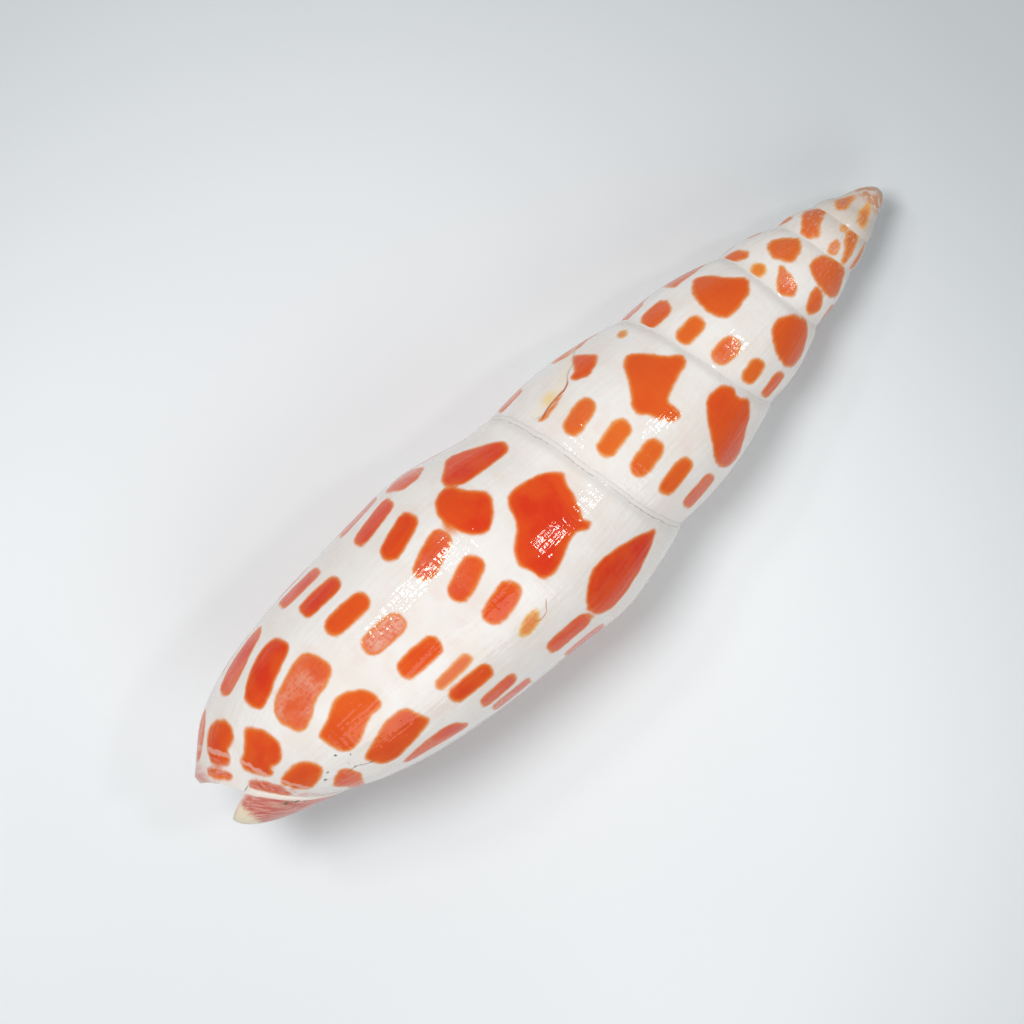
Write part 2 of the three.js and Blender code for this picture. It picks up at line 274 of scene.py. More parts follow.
def axis_side(along):
    return FRONT_TIP_SIDE * smooth_step(BEND_START, FRONT_TIP, along)


def place(angle, along, radius):
    """Points of the shell before it is laid down, with the axis along -X."""
    turn = np.radians(angle)
    radius = radius * FIT
    side = radius * np.sin(turn) + axis_side(along)
    return np.stack([-along * FIT_ALONG, side, radius * np.cos(turn)], axis=-1)


def surface_at(pixels):
    """Growth angle and distance along of the points of the outside seen at these places."""
    down, across = np.asarray(pixels, float).T
    right = APEX_PIXEL[0] + down * LENGTH_STEP[0] + across * ACROSS_STEP[0] - PICTURE / 2
    up = PICTURE / 2 - (APEX_PIXEL[1] + down * LENGTH_STEP[1] + across * ACROSS_STEP[1])
    cos, sin = math.cos(math.radians(AXIS_TILT)), math.sin(math.radians(AXIS_TILT))
    height = np.zeros(len(down))
    for _ in range(SEARCH_ROUNDS):
        scale = MM_PER_PIXEL * (CAMERA_DISTANCE - height) / CAMERA_DISTANCE
        along = LOOK_ALONG - (right * cos + up * sin) * scale
        side = LOOK_SIDE + (up * cos - right * sin) * scale - axis_side(along)
        theta = np.degrees(np.arctan2(side, np.maximum(height, 0.01)))
        angle = growth_angle(theta, along)
        radius = outside_radius(angle, along)
        height = mix(height, np.sqrt(np.clip(radius ** 2 - side ** 2, 0, None)), SEARCH_SHARE)
    theta = np.degrees(np.arctan2(side, np.maximum(height, 0.01)))
    return growth_angle(theta, along), along


# Distances round the axis are measured, and noise is laid out, as if the shell had this radius.
ARC_RADIUS = 12

# Relief that is finer than the CAD shape, in millimetres.
LIP_ROUNDING = 0.45
LIP_INNER_ROUNDING = 0.35
TOOTH_HEIGHT = 0.35
TOOTH_SPACING = 1.7
TEETH_FROM = 80
TEETH_TO = 104
TEETH_FADE_IN = 4
TEETH_REACH = 2.5
LIP_STARTS_FREE = 1.5
RIDGE_HEIGHT = 0.22
RIDGE_WIDTH = 0.45
STRIA_HEIGHT = 0.05
STRIA_SPACING = 0.75
STRIAE_MIDDLE = 0.8
STRIAE_WIDTH = 3.2
FASCIOLE_ENDS = (21, 7)
FASCIOLE_COLOUR_ENDS = (23, 9)
BODY_MARGIN = 2
UNEVENNESS = 0.05
RIPPLE_MARGIN = 1.5
FULL_RIPPLE_RADIUS = 12
# Each ripple: its size, its frequency round the axis and along it, and its phase.
RIPPLES = [(1, 5.3, 0.06, 0), (1, 11.9, -0.1, 1.3), (0.7, 3.1, 0.33, 0), (0.4, 27.0, 0.05, 0)]


def rounding(distance, radius):
    """How far a rounded edge lies below a sharp one, at a distance from it."""
    short = np.clip(1 - np.asarray(distance, float) / radius, 0, 1)
    return radius * (1 - np.sqrt(1 - short ** 2))


def front_distance(angle, along, radius):
    """Distance over the surface from the ridge at the front edge, negative behind it."""
    edge = edge_along(angle)
    past = np.hypot(along - edge, edge_radius(angle) - radius)
    return np.where(along <= edge, along - edge, past)


def relief(angle, along, radius):
    """Ripples, the ridge of the fasciole and the striae beside it."""
    turn = np.radians(angle)
    start = suture_along(angle)
    end = np.where(on_body(angle), edge_along(angle), suture_along(angle + 360))
    margins = np.clip((along - start) / RIPPLE_MARGIN, 0, 1) * np.clip((end - along) / RIPPLE_MARGIN, 0, 1)
    waves = sum(size * np.sin(often * turn + down * along + phase) for size, often, down, phase in RIPPLES)
    bumps = UNEVENNESS * waves / 2 * margins * np.clip(radius / FULL_RIPPLE_RADIUS, 0, 1)
    front = front_distance(angle, along, radius)
    fasciole = smooth_step(*FASCIOLE_ENDS, angle)
    ridge = RIDGE_HEIGHT * hump(front, RIDGE_WIDTH) - RIDGE_HEIGHT
    striae = STRIA_HEIGHT * np.cos(2 * math.pi * front / STRIA_SPACING)
    striae = striae * hump(front - STRIAE_MIDDLE, STRIAE_WIDTH)
    body = on_body(angle) & (along > start + BODY_MARGIN)
    return bumps + np.where(body, fasciole * (ridge * hump(front, 2 * RIDGE_WIDTH) + striae), 0)


def lip_teeth(along):
    """How far the lip's edge reaches past its angle, in millimetres."""
    starting = smooth_step(TEETH_FROM, TEETH_FROM + TEETH_FADE_IN, along)
    row = starting * smooth_step(TEETH_TO, TEETH_TO - TEETH_FADE_IN, along)
    return TOOTH_HEIGHT * row * (0.5 + 0.5 * np.cos(2 * math.pi * along / TOOTH_SPACING)) - TOOTH_HEIGHT


def new_object(name, data):
    made = bpy.data.objects.new(name, data)
    bpy.context.scene.collection.objects.link(made)
    return made


class Skin:
    """Collects grids and fans of points into one closed mesh."""

    def __init__(self):
        self.points = []
        self.faces = []
        self.count = 0

    def add(self, points):
        points = np.asarray(points, float).reshape(-1, 3)
        self.points.append(points)
        self.count += len(points)
        return np.arange(self.count - len(points), self.count)

    def strip(self, left, right):
        self.faces.append(np.stack([left[:-1], right[:-1], right[1:], left[1:]], axis=1))

    def fan(self, centre, ring):
        middle = np.full(len(ring) - 1, centre)
        self.faces.append(np.stack([middle, ring[1:], ring[:-1], ring[:-1]], axis=1))

    def build(self, name):
        points = np.concatenate(self.points)
        keys = np.round(points, 5)
        _, first, welded = np.unique(keys, axis=0, return_index=True, return_inverse=True)
        faces = []
        for face in welded.reshape(-1)[np.concatenate(self.faces)]:
            corners = [c for i, c in enumerate(face) if c != face[i - 1]]
            if len(corners) > 2:
                faces.append(corners)
        mesh = bpy.data.meshes.new(name)
        mesh.from_pydata(points[first].tolist(), [], faces)
        mesh.validate()
        return new_object(name, mesh)


def outside_piece():
    skin = Skin()
    step = 360 / STEPS_PER_TURN
    first_body = SPIRE_TURNS * STEPS_PER_TURN
    last_column = first_body + STEPS_PER_TURN
    angles = LIP_ANGLE - (last_column - np.arange(last_column + 1)) * step
    angles[-len(LIP_COLUMNS) - 1:-1] += np.array(LIP_COLUMNS) * step
    starts = suture_along(angles)
    nexts = suture_along(angles + 360)
    shares = np.linspace(0, 1, WHORL_ROWS + 1) ** ROW_CROWDING
    rear = at(suture_along, angles[first_body])
    break_share = (at(suture_along, angles[-1]) - rear) / (at(edge_along, angles[first_body]) - rear)
    lower = 1 - (1 - np.linspace(0, 1, LOWER_ROWS + 1)[1:]) ** ROW_CROWDING
    fractions = np.concatenate([shares * break_share, mix(break_share, 1, lower)])
    eased = np.sin(math.pi / 2 * np.arange(1, TIP_ROWS) / TIP_ROWS)

    columns = []
    for column, angle in enumerate(angles):
        if column < first_body:
            along = mix(starts[column], nexts[column], shares)
            turn = np.full(len(along), angle)
            radius = spire_radius(turn, along)
            radius = radius + relief(turn, along, radius)
            columns.append(skin.add(place(turn, along, radius)))
            continue
        edge = at(edge_along, angle)
        along = np.concatenate([mix(starts[column], edge, fractions), mix(edge, FRONT_TIP, eased)])
        turn = np.full(len(along), angle)
        radius = body_radius(turn, along)
        radius = radius + relief(turn, along, radius)
        arc = np.radians(LIP_ANGLE - angle) * np.maximum(radius, 1)
        free = smooth_step(0, LIP_STARTS_FREE, along - starts[column])
        radius = np.maximum(radius - free * rounding(arc, LIP_ROUNDING), 0.05)
        near_lip = smooth_step(TEETH_REACH, 0, arc) * free
        turn = turn + np.degrees(lip_teeth(along) * near_lip / np.maximum(radius, 4))
        points = np.concatenate([place(turn, along, radius), [[-FRONT_TIP * FIT_ALONG, FRONT_TIP_SIDE, 0]]])
        columns.append(skin.add(points))

    # A whorl's last point on the spire is the first point of the whorl one turn later.
    for column in range(first_body):
        columns[column] = np.append(columns[column][:-1], columns[column + STEPS_PER_TURN][0])
    columns[first_body][WHORL_ROWS] = columns[last_column][0]

    for left, right in zip(columns, columns[1:]):
        rows = min(len(left), len(right))
        skin.strip(left[:rows], right[:rows])

    points = np.concatenate(skin.points)
    rim = [column[0] for column in columns[:STEPS_PER_TURN + 1]] + list(columns[0][::-1][1:])
    rim = np.array(rim)
    outer_ring = rim
    for share in APEX_RINGS:
        narrower = share ** APEX_ROUNDNESS
        ring = skin.add(points[rim] * np.array([share, narrower, narrower]))
        skin.strip(outer_ring, ring)
        outer_ring = ring
    skin.fan(skin.add([[0, 0, 0]])[0], outer_ring)

    # The face of the aperture, from the lip across to the columella, before the hollow is cut.
    lip = columns[last_column]
    columella = columns[first_body]
    inner = np.maximum(np.arange(len(lip)), WHORL_ROWS)
    skin.strip(lip, columella[inner])
    return skin.build("outside")


fold_gap = (FOLDS[1][0] - FOLDS[0][0]) / 2
lip_rear = at(suture_along, LIP_ANGLE) + REAR_CORNER


def fold_cut(along):
    """How far the columella lies below its own profile between the folds."""
    knots, cuts = [lip_rear, FOLDS[0][0] - fold_gap], [0, FOLD_GAP_DEPTH / 2]
    for i, (crest, height) in enumerate(FOLDS):
        last = i == len(FOLDS) - 1
        knots += [crest, crest + fold_gap if last else (crest + FOLDS[i + 1][0]) / 2]
        cuts += [FOLD_GAP_DEPTH - height, FOLD_GAP_DEPTH * (LAST_GAP_SHARE if last else 1)]
    knots.append(knots[-1] + 2 * fold_gap)
    cuts.append(0)
    return hermite(knots, cuts, along)


def hollow_piece():
    skin = Skin()
    step_angle = 360 / HOLLOW_STEPS_PER_TURN
    inside_steps = round((360 - HOLLOW_END_GAP) / step_angle)
    outside_steps = round(FOLD_FADE_ANGLE / step_angle)
    last_fold = FOLDS[-1][0] + fold_gap
    eased = np.sin(math.pi / 2 * np.arange(1, COLUMELLA_FRONT_ROWS) / COLUMELLA_FRONT_ROWS)
    inner_rows = np.concatenate([
        np.linspace(lip_rear, last_fold, COLUMELLA_ROWS)[1:], mix(last_fold, OPEN_FRONT, eased)])
    cuts = fold_cut(inner_rows)
    start_lip = lip_rear - REAR_CORNER

    steps = np.arange(-inside_steps, outside_steps + 1).astype(float)
    steps = np.sort(np.concatenate([steps, HOLLOW_LIP_COLUMNS]))
    rings = []
    for step in steps:
        angle = LIP_ANGLE + step * step_angle
        beyond = max(0.0, step) / outside_steps
        inside = min(angle, LIP_ANGLE)
        start = at(suture_along, inside)
        rear = start + REAR_CORNER
        edge = at(edge_along, inside)
        opened = smooth_step(NOTCH_ANGLE, NOTCH_ANGLE + OPENING_ANGLE, inside)
        front = mix(edge - FRONT_CLOSING, OPEN_FRONT, opened)
        taper = smooth_step(LIP_ANGLE - LIP_TAPER_ANGLE, LIP_ANGLE, inside)
        narrowing = at(suture_radius, inside) / at(suture_radius, LIP_ANGLE)

        def inner_at(along):
            if step > 0:
                turn = np.full(len(along), angle - 360)
                radius = body_radius(turn, along)
                return radius + relief(turn, along, radius) + LIFT_OFF * beyond
            share = np.clip((along - start) / (FRONT_TIP - start), None, 1)
            turn = np.full(len(along), float(COLUMELLA_ANGLE))
            at_lip = mix(start_lip, FRONT_TIP, share)
            return body_radius(turn, at_lip) * mix(narrowing, 1, share) - JOIN_CLEARANCE

        # Where the hollow is open, one of its rows lies on the free edge itself.
        straight_rows = HOLLOW_OUTER_ROWS - FLARE_ROWS
        knee = mix(mix(rear, front, straight_rows / HOLLOW_OUTER_ROWS), edge, opened)
        along = np.concatenate([np.linspace(rear, knee, straight_rows + 1),
                                np.linspace(knee, front, FLARE_ROWS + 1)[1:]])
        share = (along - rear) / (edge - rear)
        wall = mix(mix(WALL, WALL_AT_LIP, taper), WALL_AT_FRONT, smooth_step(THIN_WALL_FROM, 1, share))
        arc = math.radians(LIP_ANGLE - inside) * ARC_RADIUS
        wall = wall - rounding(arc, LIP_INNER_ROUNDING)
        outer = body_radius(np.full(len(along), inside), np.minimum(along, edge)) - wall
        outer = outer + FLARE * np.maximum(along - edge, 0)
        inner = inner_at(along)
        outer = np.maximum(outer, inner + MIN_GAP)
        outer[[0, -1]] = mix(inner, outer, 0.5)[[0, -1]]
        along_inner = mix(rear, front, (inner_rows - lip_rear) / (OPEN_FRONT - lip_rear))[::-1]
        lower = np.maximum(inner_at(along_inner) - cuts[::-1] * (1 - beyond), TIP_NEEDLE)
        all_along = np.concatenate([along, along_inner])
        radius = np.concatenate([outer, lower])
        ring = skin.add(place(np.full(len(all_along), angle), all_along, radius))
        rings.append(np.append(ring, ring[0]))

    for left, right in zip(rings, rings[1:]):
        skin.strip(left, right)
    points = np.concatenate(skin.points)
    for ring, order in ((rings[0], -1), (rings[-1], 1)):
        centre = skin.add([points[ring[1:]].mean(axis=0)])[0]
        skin.fan(centre, ring[::order])
    return skin.build("hollow")


def cut(piece, tool):
    """The piece's mesh with the tool cut out of it."""
    modifier = piece.modifiers.new("cut", "BOOLEAN")
    modifier.operation = "DIFFERENCE"
    modifier.solver = "MANIFOLD"
    modifier.object = tool
    bpy.context.view_layer.update()
    evaluated = piece.evaluated_get(bpy.context.evaluated_depsgraph_get())
    mesh = bpy.data.meshes.new_from_object(evaluated)
    for old in (piece, tool):
        bpy.data.objects.remove(old)
    return mesh


mesh = cut(outside_piece(), hollow_piece())

# The spots seen in the picture, in pixels from the apex down and across. Worn ones are paler, and
# yellow ones lack the red layer.
SPOTS = [
    # worn, yellow, corners
    (0.2, 0.3, [(19, -14), (30, -19), (40, -22), (45, -15), (38, -9), (28, -12)]),
    (0.3, 0.7, [(15, 2), (26, 0), (38, 8), (39, 18), (30, 14), (20, 10)]),
    (0.1, 0.2, [(50, -22), (62, -31), (72, -36), (78, -30), (88, -22), (85, -12), (76, -7), (66, -17)]),
    (0.5, 0.6, [(42, 2), (52, 0), (57, 4), (50, 8)]),
    (0.1, 0.4, [(43, 14), (52, 8), (60, 14), (66, 21), (77, 27), (76, 31), (62, 27), (50, 22)]),
    (0.6, 0.3, [(65, 8), (74, 6), (81, 12), (76, 18), (67, 14)]),
    (0.2, 0.2, [(43, 27), (58, 33), (75, 37), (74, 40), (58, 36)]),
    (0.2, 0.2, [(83, -39), (90, -40), (99, -42), (96, -45), (86, -43)]),
    (0.1, 0.3, [(92, -18), (100, -27), (112, -36), (121, -36), (125, -24), (118, -12), (113, -5), (98, -10)]),
    (0.1, 0.2, [(79, 25), (86, 10), (96, 6), (104, 10), (109, 24), (110, 44), (104, 50), (90, 42), (80, 36)]),
    (0.1, 0.2, [(111, 28), (122, 30), (135, 38), (136, 46), (124, 48), (114, 40)]),
    (0.5, 0.2, [(124, -12), (130, -8), (143, 3), (144, 10), (136, 20), (127, 16), (124, 4)]),
    (0.2, 0.8, [(135, -24), (142, -31), (152, -28), (150, -18), (140, -16)]),
    (0.1, 0.2, [(139, -44), (148, -54), (165, -56), (158, -47), (143, -40)]),
    (0.3, 0.3, [(112, 52), (122, 54), (133, 57), (130, 60), (116, 56)]),
    (0.0, 0.1, [(157, -25), (172, -38), (185, -54), (197, -61), (206, -54), (210, -40), (208, -22),
                (198, -8), (180, -10), (165, -13)]),
    (0.0, 0.1, [(142, 45), (150, 32), (160, 27), (172, 28), (180, 38), (188, 55), (189, 66), (183, 72),
                (168, 69), (150, 57)]),
    (0.0, 0.1, [(257, -12), (270, -22), (282, -36), (292, -46), (299, -50), (306, -46), (312, -34),
                (319, -20), (329, -8), (330, 2), (322, 8), (318, 18), (310, 32), (300, 32), (298, 22),
                (300, 12), (288, 5), (272, 0), (260, -4)]),
    (0.0, 0.0, [(242, 46), (248, 38), (258, 36), (270, 38), (280, 50), (292, 70), (304, 88), (305, 96),
                (298, 102), (284, 101), (266, 90), (248, 78), (238, 66), (246, 58)]),
    (0.0, 0.0, [(320, -70), (330, -80), (341, -87), (344, -78), (348, -73), (356, -71), (350, -65),
                (340, -61), (328, -64)]),
    (0.2, 0.8, [(282, -69), (287, -73), (293, -71), (291, -66), (285, -65)]),
    (0.0, 0.2, [(366, -68), (380, -65), (398, -62), (408, -62), (404, -58), (385, -61)]),
    (0.0, 0.0, [(447, -70), (465, -80), (485, -90), (500, -96), (510, -90), (522, -80), (515, -70),
                (500, -64), (470, -61), (450, -59)]),
    (0.0, 0.0, [(512, -62), (516, -72), (526, -76), (538, -72), (545, -62), (546, -48), (538, -28),
                (528, -16), (518, -14), (505, -22), (495, -36), (494, -44), (504, -54)]),
    (0.0, 0.0, [(425, -6), (434, -15), (447, -22), (465, -26), (480, -27), (487, -18), (491, -4), (497, 6),
                (508, 14), (518, 26), (520, 36), (514, 44), (513, 56), (506, 62), (494, 62), (478, 55),
                (466, 48), (455, 46), (444, 53), (438, 50), (442, 42), (436, 28), (432, 14), (430, 2)]),
    (0.0, 0.0, [(393, 99), (410, 93), (430, 88), (450, 85), (468, 86), (482, 94), (494, 105), (499, 115),
                (494, 124), (480, 128), (458, 125), (436, 119), (415, 111)]),
    (0.4, 0.0, [(523, -105), (535, -112), (550, -115), (570, -113), (556, -103), (538, -100)]),
    (0.2, 1.0, [(534, 76), (548, 75), (562, 80), (569, 86), (560, 91), (545, 90)]),
    (0.2, 0.0, [(750, -98), (765, -98), (800, -90), (824, -80), (826, -72), (820, -69), (800, -76),
                (775, -86), (758, -92)]),
    (0.0, 0.0, [(744, -66), (746, -76), (752, -81), (768, -80), (790, -72), (805, -62), (813, -54),
                (813, -44), (806, -36), (795, -39), (775, -50), (755, -58), (746, -62)]),
    (0.5, 0.2, [(727, -24), (730, -38), (738, -49), (752, -48), (770, -42), (790, -34), (800, -24),
                (802, -12), (796, 4), (788, 9), (776, 4), (762, -6), (745, -10), (730, -16)]),
    (0.0, 0.2, [(714, 30), (718, 20), (728, 12), (740, 7), (750, 8), (765, 17), (782, 22), (782, 32),
                (777, 50), (768, 56), (755, 54), (740, 46), (728, 43), (715, 43)]),
    (0.0, 0.2, [(690, 88), (694, 76), (700, 62), (710, 58), (730, 59), (750, 66), (764, 70), (762, 76),
                (754, 88), (742, 92), (715, 91)]),
    (0.3, 0.0, [(665, 115), (675, 105), (690, 101), (715, 99), (738, 99), (735, 103), (715, 107),
                (690, 113), (668, 118)]),
    (0.4, 0.0, [(848, -74), (856, -71), (870, -62), (885, -50), (891, -42), (886, -41), (872, -52),
                (858, -64)]),
    (0.0, 0.1, [(841, -44), (842, -54), (850, -59), (862, -56), (872, -46), (879, -34), (879, -26),
                (872, -18), (864, -20), (860, -30), (848, -33)]),
    (0.0, 0.1, [(817, -4), (820, -18), (828, -30), (834, -33), (842, -22), (850, -14), (858, -12),
                (860, -4), (856, 6), (848, 18), (842, 20), (840, 12), (834, 16), (826, 14), (819, 6)]),
    (0.0, 0.2, [(802, 50), (806, 38), (814, 30), (824, 28), (838, 28), (842, 33), (836, 46), (826, 56),
                (812, 56)]),
    (0.3, 0.1, [(778, 78), (784, 68), (790, 62), (800, 66), (806, 70), (798, 78), (788, 84), (780, 84)]),
    (0.4, 0.0, [(887, -28), (891, -22), (879, -6), (874, -7), (877, -16)]),
    (0.3, 0.0, [(864, 10), (868, 14), (850, 42), (843, 48), (846, 34), (855, 20)]),
]

# The small spots, which are short bars: two ends, half the width, worn, yellow.
BARS = [
    ((233, -60), (266, -60), 8.5, 0.1, 0.1), ((219, -26), (250, -24), 9, 0.0, 0.3),
    ((207, 14), (237, 15), 10, 0.5, 0.2), ((203, 45), (229, 51), 7.5, 0.0, 0.3),
    ((196, 69), (225, 74), 4.5, 0.1, 0.1), ((252, -78), (278, -78), 2, 0.5, 0.0),
    ((355, -41), (395, -32), 10, 0.1, 0.3), ((343, -1), (384, 7), 10, 0.0, 0.4),
    ((333, 36), (373, 44), 10.5, 0.0, 0.3), ((323, 70), (365, 77), 8, 0.0, 0.2),
    ((317, 97), (357, 102), 5, 0.2, 0.0), ((400, -96), (430, -94), 2, 0.6, 0.0),
    ((571, -103), (625, -93), 6.5, 0.0, 0.0), ((564, -78), (614, -62), 10.5, 0.0, 0.0),
    ((552, -43), (602, -25), 12, 0.2, 0.1), ((545, -2), (591, 15), 12, 0.1, 0.1),
    ((535, 44), (581, 54), 12.5, 0.0, 0.1), ((503, 118), (555, 116), 6.5, 0.2, 0.0),
    ((499, 134), (545, 131), 2, 0.1, 0.0), ((580, -115), (632, -110), 2, 0.6, 0.0),
    ((671, -101), (723, -99), 4.5, 0.2, 0.0), ((663, -80), (713, -79), 8.5, 0.0, 0.0),
    ((653, -48), (706, -48), 10.5, 0.0, 0.1), ((641, -8), (691, -9), 11.5, 0.75, 0.1),
    ((630, 34), (681, 33), 11.5, 0.0, 0.1), ((617, 66), (663, 68), 6, 0.0, 0.4),
    ((610, 89), (660, 86), 8.5, 0.0, 0.1), ((598, 112), (641, 111), 5, 0.2, 0.0),
    ((590, 125), (635, 122), 3, 0.5, 0.0),
]


# In pixels as above: the edge of the mended break on the whorl above the last and the middle of its
# yellow patch, and the hairline cracks of the last whorl, each with its colour on the screen.
SCAR = [(318, -99), (336, -87), (344, -80), (351, -78), (357, -74), (361, -70), (368, -67), (378, -67),
        (388, -66), (396, -64), (405, -61)]
SCAR_CLOUD = (385, -70)
CRACKS = [((196, 124, 58), [(523, 76), (529, 84), (537, 88), (546, 86)]),
          ((122, 100, 88), [(785, 70), (776, 70), (768, 75.6), (759, 79)])]
# Green-grey specks of dirt near the front: where they are, and their radius in millimetres.
SPECKS = [(843, 57, 0.42), (853, 51, 0.4), (808, 60, 0.26), (801, 56, 0.2), (784, 49, 0.22),
          (780, 64, 0.17), (838, 62, 0.25), (849, 58, 0.22), (826, 63, 0.18), (772, 58, 0.15)]


BAR_CHAMFER = 0.55
MOST_OF_LENGTH = 0.25
CORNER_CUT = 0.2


def bar_corners(start, end, half):
    """The outline of a bar with blunt ends."""
    (x0, y0), (x1, y1) = start, end
    length = math.hypot(x1 - x0, y1 - y0)
    ux, uy = (x1 - x0) / length, (y1 - y0) / length
    chamfer = min(BAR_CHAMFER * half, MOST_OF_LENGTH * length)
    outline = [(0, -half + chamfer), (chamfer, -half), (length - chamfer, -half),
               (length, -half + chamfer), (length, half - chamfer), (length - chamfer, half),
               (chamfer, half), (0, half - chamfer)]
    return [(x0 + ux * a - uy * b, y0 + uy * a + ux * b) for a, b in outline]


def rounded_corners(corners):
    """The outline with each corner cut off."""
    points = np.asarray(corners, float)
    following = np.roll(points, -1, axis=0)
    cuts = [mix(points, following, share) for share in (CORNER_CUT, 1 - CORNER_CUT)]
    return np.stack(cuts, axis=1).reshape(-1, 2)


def seen_spots():
    """Growth angles, distances along, worn and yellow of the spots in the picture."""
    bars = [(worn, yellow, bar_corners(start, end, half)) for start, end, half, worn, yellow in BARS]
    spots = []
    for worn, yellow, corners in SPOTS + bars:
        angle, along = surface_at(rounded_corners(corners))
        middle = np.sort(angle)[len(angle) // 2]
        angle = angle + 360 * np.round((middle - angle) / 360)
        spots.append((angle, along, worn, yellow))
    return spots


# The rows of spots go on round the sides that the picture doesn't show. Each row: where it is on
# the whorl as a share of its length, the length and width of a spot, and the spacing, in millimetres.
BODY_ROWS = [(0.14, 9.5, 8.0, 13.0), (0.35, 6.2, 2.7, 5.3), (0.55, 6.2, 2.6, 5.2), (0.76, 8.0, 5.2, 7.6),
             (0.94, 4.6, 4.2, 7.0)]
SPIRE_ROWS = [(0.3, 0.38, 0.5, 0.95), (0.78, 0.26, 0.16, 0.34)]
UNSEEN_OF_BODY = ((84, LIP_ANGLE - 3), (COLUMELLA_ANGLE + 20, -90))
UNSEEN_OF_SPIRE = (90, 266)
UNSEEN_TURNS = (1, 2, 3)
HIDDEN_CORNERS = 14
HIDDEN_SQUARENESS = 2.6
HIDDEN_SLANT = 0.15
HIDDEN_WORN = 0.12
# Ranges of the lengths, widths and spacings, as shares of the row's own, and wavers of an outline.
LENGTHS = (0.85, 1.1)
WIDTHS = (0.8, 1.15)
BODY_SPACINGS = (0.9, 1.1)
SPIRE_SPACINGS = (0.9, 1.15)
WIDTH_WAVER = 0.12
LENGTH_WAVER = 0.05


def hidden_spot(rng, angle, along, length, width, radius):
    """Growth angles, distances along, worn and yellow of a spot with a slightly uneven outline."""
    length = length * rng.uniform(*LENGTHS)
    width = width * rng.uniform(*WIDTHS)
    turn = np.linspace(0, 2 * math.pi, HIDDEN_CORNERS, endpoint=False)
    cos, sin = np.cos(turn), np.sin(turn)
    across = np.sign(sin) * np.abs(sin) ** (2 / HIDDEN_SQUARENESS) * width / 2
    down = np.sign(cos) * np.abs(cos) ** (2 / HIDDEN_SQUARENESS) * length / 2
    across = across + WIDTH_WAVER * width * rng.uniform(-1, 1, len(turn))
    down = down + LENGTH_WAVER * length * rng.uniform(-1, 1, len(turn))
    slant = rng.uniform(-HIDDEN_SLANT, HIDDEN_SLANT)
    angles = angle + np.degrees((across + slant * down) / radius)
    return angles, along + down, HIDDEN_WORN + 0.3 * rng.random() ** 3, 0.3 * rng.random()


def hidden_spots(rng):
    """Spots of the unseen side, on the body whorl and on each whorl of the spire."""
    spots = []
    for share, length, width, spacing in BODY_ROWS:
        for angle, high in UNSEEN_OF_BODY:
            while angle < high:
                along = mix(at(suture_along, angle), at(edge_along, angle), share)
                radius = at(body_radius, angle, along)
                half = math.degrees(width / 2 / radius)
                if angle + 2 * half > high:
                    break
                spots.append(hidden_spot(rng, angle + half, along, length, width, radius))
                angle += math.degrees(spacing / radius) * rng.uniform(*BODY_SPACINGS)
    for turn in UNSEEN_TURNS:
        for share, length, width, spacing in SPIRE_ROWS:
            angle, high = (end - 360 * turn for end in UNSEEN_OF_SPIRE)
            while angle < high:
                start = at(suture_along, angle)
                whorl = at(suture_along, angle + 360) - start
                along = start + share * whorl
                radius = at(spire_radius, angle, along)
                spots.append(hidden_spot(rng, angle, along, length * whorl, width * whorl, radius))
                angle += math.degrees(spacing * whorl / radius) * rng.uniform(*SPIRE_SPACINGS)
    return spots


def by_segment(x, y, start, end):
    """For places beside a segment: its step, their steps and share from its start, their distance."""
    ex, ey = end[0] - start[0], end[1] - start[1]
    wx, wy = x - start[0], y - start[1]
    share = (wx * ex + wy * ey) / max(ex * ex + ey * ey, 1e-12)
    t = np.clip(share, 0, 1)
    return ex, ey, wx, wy, share, np.hypot(wx - ex * t, wy - ey * t)


def outline_distance(x, y, corners):
    """Distance to an outline, positive inside it."""
    nearest = np.full(len(x), np.inf)
    inside = np.zeros(len(x), bool)
    for start, end in zip(np.roll(corners, 1, axis=0), corners):
        ex, ey, wx, wy, _, away = by_segment(x, y, start, end)
        nearest = np.minimum(nearest, away)
        if ey != 0:
            inside ^= ((start[1] > y) != (end[1] > y)) & (wx < ex * wy / ey)
    return np.where(inside, 1, -1) * nearest


LINE_FADES_IN = 2.5


def line_distance(x, y, points):
    """Distance to the right of a line of points, and how far a place lies beside it.

    The second value is 0 past the ends, and grows to 1 from the first end on."""
    nearest = np.full(len(x), np.inf)
    signed = np.zeros(len(x))
    beside = np.zeros(len(x))
    for i in range(1, len(points)):
        ex, ey, wx, wy, free, away = by_segment(x, y, points[i - 1], points[i])
        closer = away < nearest
        nearest = np.where(closer, away, nearest)
        signed = np.where(closer, np.sign(wx * ey - wy * ex) * away, signed)
        share = np.ones(len(x))
        if i == 1:
            share = smooth_step(0, LINE_FADES_IN, free * math.hypot(ex, ey))
        if i == len(points) - 1:
            share = np.where(free > 1, 0, share)
        beside = np.where(closer, share, beside)
    return signed, beside


# Spots are measured this far outside and inside their outlines, and the suture and scar this far.
SPOT_REACH = 2.0
SUTURE_REACH = 5
SCAR_REACH = 6
FRONT_REACH = 12
# The hollow's surface starts this deep under the outside, and is all its own colour at the second.
HOLLOW_DEPTHS = (0.55, 0.95)
PAST_SUTURE = 0.001


